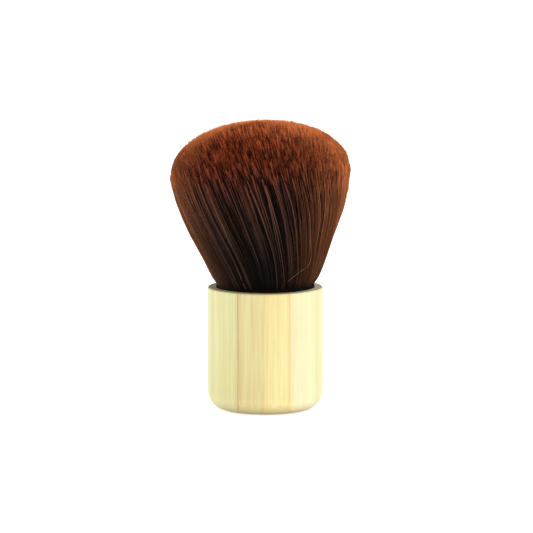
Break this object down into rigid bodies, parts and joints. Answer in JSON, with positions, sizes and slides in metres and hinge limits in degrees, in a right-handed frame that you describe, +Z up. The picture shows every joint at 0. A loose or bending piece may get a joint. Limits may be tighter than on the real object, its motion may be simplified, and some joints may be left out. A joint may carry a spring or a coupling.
{
  "type": "kabuki makeup brush",
  "caption": "Short kabuki makeup brush: a dense, flared and domed tuft of dark brown hair with orange-brown tips, set in a turned laminated bamboo handle that stands on its base.",
  "frame": {"origin": "centre of the handle's flat base", "axes": "+Z up along the handle to the tuft, +X across the glued strips to the right of the picture's view, +Y away from the viewer"},
  "size_m": [0.0499, 0.05, 0.08],
  "materials": {
    "bamboo": "satin",
    "cup_plastic": "satin",
    "glue": "matte",
    "resin": "gloss",
    "thread": "matte",
    "hair": "satin"
  },
  "bodies": {
    "handle": {"bamboo_strip_1": "bamboo", "bamboo_strip_2": "bamboo", "bamboo_strip_3": "bamboo", "bamboo_strip_4": "bamboo", "bamboo_strip_5": "bamboo", "bamboo_strip_6": "bamboo", "hair_cup": "cup_plastic", "cup_glue": "glue", "root_resin": "resin", "tie_thread": "thread", "hair_root": "hair"},
    "hair": {"hair_head": "hair"}
  },
  "joints": [
    {"name": "hair_bend", "type": "hinge", "parent": "handle", "child": "hair", "pos_m": [0, 0, 0.041], "axis": [0, 1, 0], "range_deg": [-25, 25], "stiffness_Nm_per_rad": 0.1}
  ]
}
